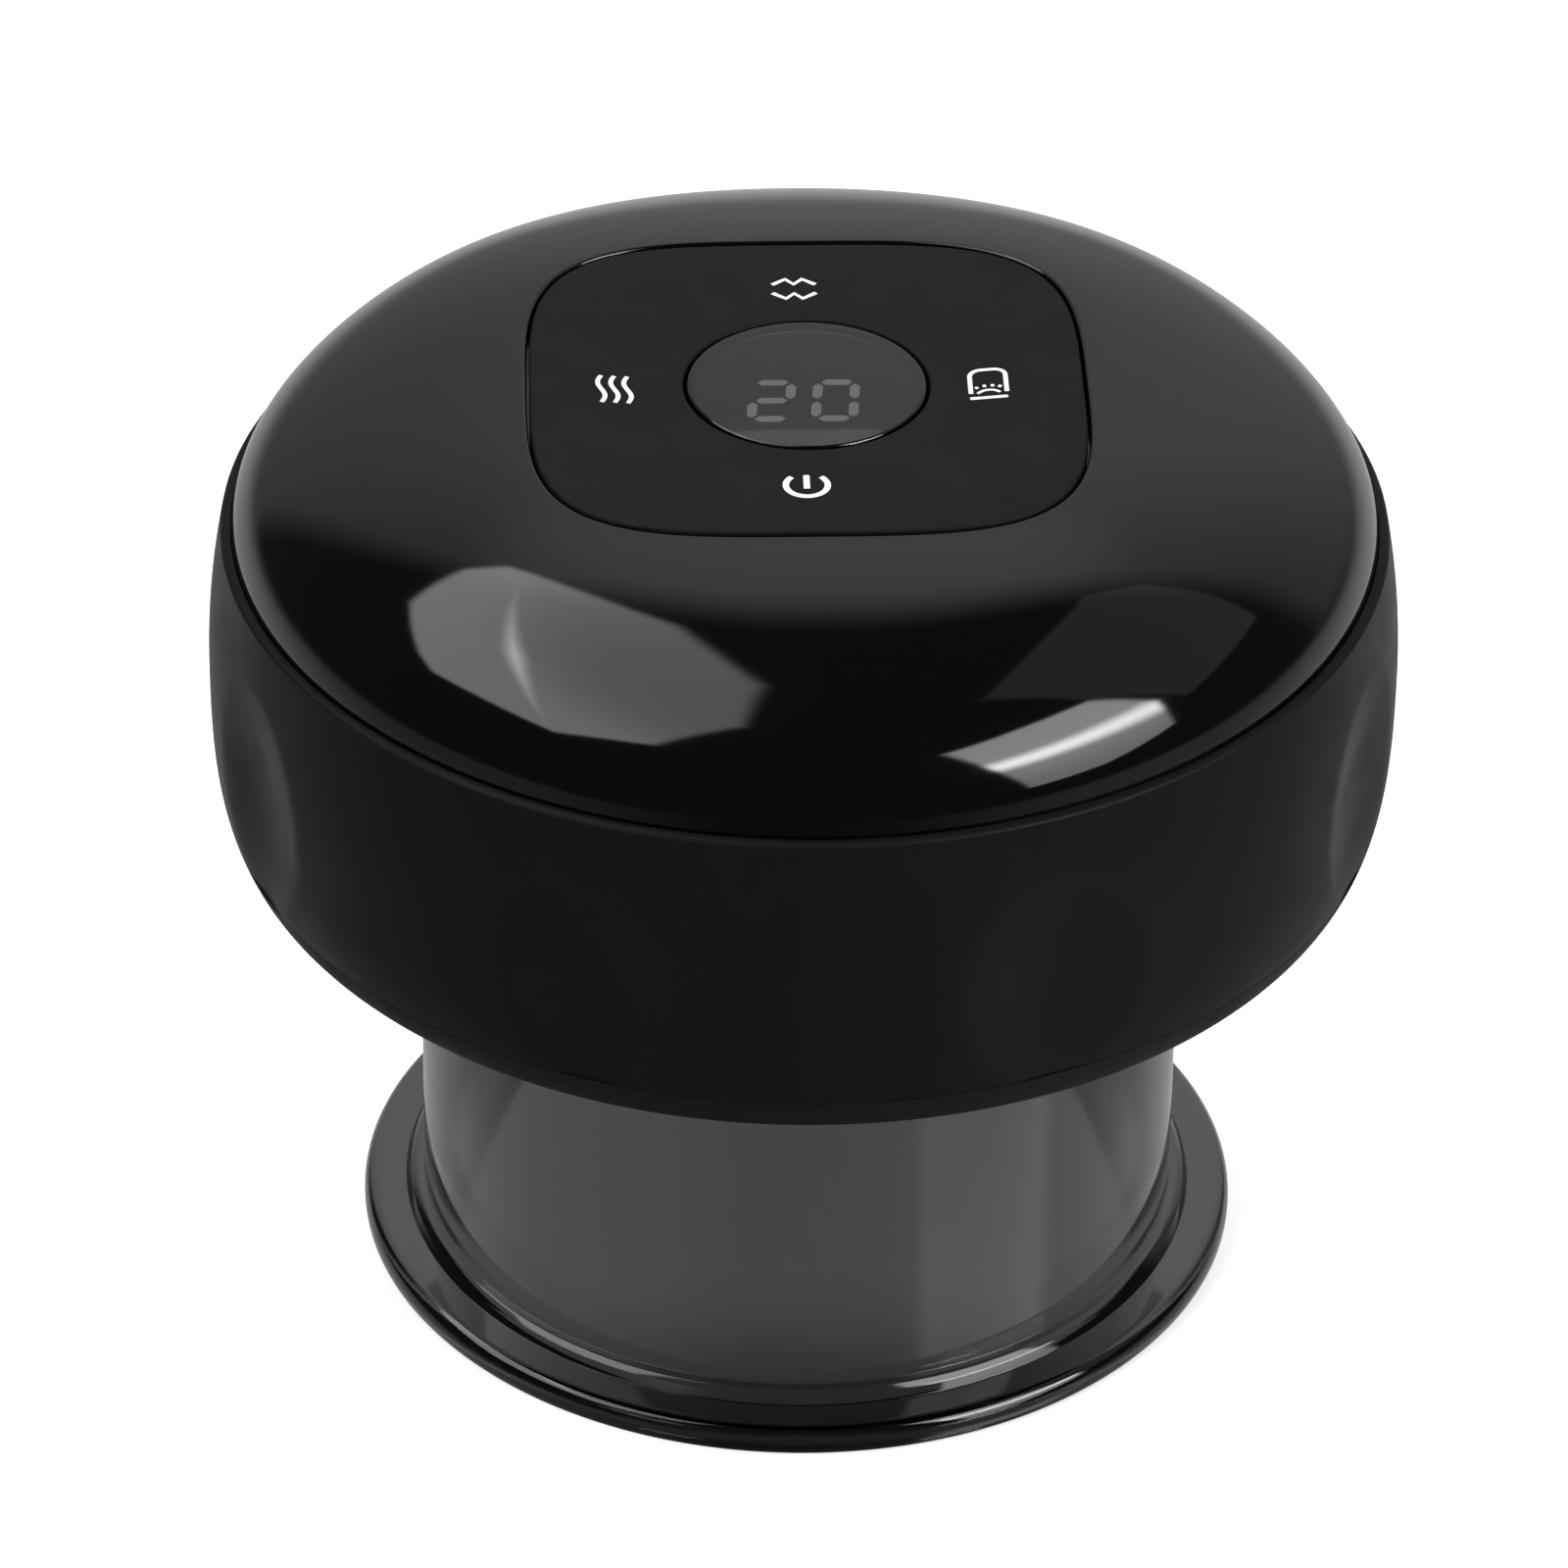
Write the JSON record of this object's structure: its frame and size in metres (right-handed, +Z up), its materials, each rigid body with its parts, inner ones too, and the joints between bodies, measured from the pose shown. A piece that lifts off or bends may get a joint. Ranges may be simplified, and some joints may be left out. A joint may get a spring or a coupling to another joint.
{
  "type": "electric cupping massager",
  "caption": "Round battery suction head with a rocking key panel, display and grip ring, on a smoked screw-on cup with a flared rim.",
  "frame": {"origin": "on the surface that the cup's rim stands on, under the middle of the rim", "axes": "+Z up through the cup and the head, -Y towards the power key, +X towards the cup key"},
  "size_m": [0.0924, 0.0924, 0.0771],
  "materials": {
    "smoked_polycarbonate": "smoked, polished, part translucent",
    "gloss_black_abs": "high gloss black",
    "satin_black_abs": "satin black",
    "soft_touch_grip": "soft-touch matte black",
    "display_lens_pc": "tinted, polished",
    "black_silicone": "matte",
    "clear_silicone": "milky",
    "circuit_board": "green solder mask",
    "chip_epoxy": "moulded epoxy",
    "display_face": "dark filter face",
    "natural_nylon": "natural",
    "white_abs": "white",
    "zinc_plated_steel": "zinc plated",
    "anodised_aluminium": "satin anodised",
    "enamelled_copper": "enamelled winding",
    "ferrite": "sintered",
    "battery_foil": "shrink film",
    "foam": "open foam",
    "wire_jacket": "twin lead jacket"
  },
  "bodies": {
    "head": {"bottom_cover": "satin_black_abs", "grip_ring": "soft_touch_grip", "top_cover": "gloss_black_abs", "housing_screw_1": "zinc_plated_steel", "housing_screw_2": "zinc_plated_steel", "housing_screw_3": "zinc_plated_steel", "housing_screw_4": "zinc_plated_steel", "display_lens": "display_lens_pc", "lens_holder": "satin_black_abs", "digit_display": "display_face", "key_board": "circuit_board", "key_switch_right": "chip_epoxy", "key_switch_back": "chip_epoxy", "key_switch_left": "chip_epoxy", "key_switch_front": "chip_epoxy", "key_cable": "white_abs", "inner_frame": "satin_black_abs", "frame_screw_1": "zinc_plated_steel", "frame_screw_2": "zinc_plated_steel", "battery_cell": "battery_foil", "battery_pad": "foam", "battery_lead": "wire_jacket", "main_board": "circuit_board", "controller_chip": "chip_epoxy", "buzzer": "chip_epoxy", "charge_socket": "zinc_plated_steel", "motor_can": "zinc_plated_steel", "motor_end_cap": "natural_nylon", "motor_magnet": "ferrite", "motor_sleeve": "black_silicone", "motor_lead": "wire_jacket", "pump_housing": "chip_epoxy", "pump_diaphragm": "black_silicone", "pump_valve_plate": "natural_nylon", "pump_cover": "white_abs", "pump_screw_1": "zinc_plated_steel", "pump_screw_2": "zinc_plated_steel", "valve_body": "white_abs", "valve_frame": "zinc_plated_steel", "valve_bobbin": "natural_nylon", "valve_winding": "enamelled_copper", "valve_spring": "zinc_plated_steel", "air_tee": "white_abs", "suction_tube": "clear_silicone", "release_tube": "clear_silicone", "filter_disc": "foam", "heating_plate": "anodised_aluminium", "light_board": "circuit_board", "heater_lead": "wire_jacket"},
    "rocker": {"rocker_washer": "natural_nylon"},
    "panel": {"control_panel": "satin_black_abs"},
    "plunger_right": {"switch_plunger_right": "white_abs"},
    "plunger_back": {"switch_plunger_back": "white_abs"},
    "plunger_left": {"switch_plunger_left": "white_abs"},
    "plunger_front": {"switch_plunger_front": "white_abs"},
    "seal": {"cup_seal": "black_silicone"},
    "cup": {"cup": "smoked_polycarbonate"},
    "rotor": {"motor_rotor": "zinc_plated_steel"},
    "pump_rod": {"pump_rod": "natural_nylon"},
    "valve_plunger": {"valve_plunger": "zinc_plated_steel"}
  },
  "joints": [
    {"name": "panel_rock_front_back", "type": "hinge", "parent": "head", "child": "rocker", "pos_m": [0, 0, 0.0729], "axis": [1, 0, 0], "range_deg": [-1, 1], "stiffness_Nm_per_rad": 1.3},
    {"name": "panel_rock_side", "type": "hinge", "parent": "rocker", "child": "panel", "pos_m": [0, 0, 0.0751], "axis": [0, 1, 0], "range_deg": [-1, 1], "stiffness_Nm_per_rad": 1.3},
    {"name": "right_switch_press", "type": "slide", "parent": "head", "child": "plunger_right", "axis": [0, 0, -1], "range_m": [0, 0.00025], "stiffness_N_per_m": 4000},
    {"name": "back_switch_press", "type": "slide", "parent": "head", "child": "plunger_back", "axis": [0, 0, -1], "range_m": [0, 0.00025], "stiffness_N_per_m": 4000},
    {"name": "left_switch_press", "type": "slide", "parent": "head", "child": "plunger_left", "axis": [0, 0, -1], "range_m": [0, 0.00025], "stiffness_N_per_m": 4000},
    {"name": "front_switch_press", "type": "slide", "parent": "head", "child": "plunger_front", "axis": [0, 0, -1], "range_m": [0, 0.00025], "stiffness_N_per_m": 4000},
    {"name": "cup_drop", "type": "slide", "parent": "head", "child": "seal", "axis": [0, 0, -1], "range_m": [0, 0.008]},
    {"name": "cup_turn", "type": "hinge", "parent": "seal", "child": "cup", "pos_m": [0, 0, 0], "axis": [0, 0, -1], "range_deg": [0, 240]},
    {"name": "motor_spin", "type": "hinge", "parent": "head", "child": "rotor", "pos_m": [0.0045, -0.021, 0.0583], "axis": [1, 0, 0], "continuous": true},
    {"name": "pump_stroke", "type": "slide", "parent": "head", "child": "pump_rod", "axis": [0, 0, 1], "range_m": [-0.0005, 0.0005], "stiffness_N_per_m": 200},
    {"name": "valve_lift", "type": "slide", "parent": "head", "child": "valve_plunger", "axis": [0, 0, 1], "range_m": [0, 0.001], "stiffness_N_per_m": 100, "springref_m": -0.001, "deforming": ["valve_spring"]}
  ],
  "couplings": [
    {"joint": "cup_drop", "follows": "cup_turn", "m_per_rad": 0.0019098}
  ]
}
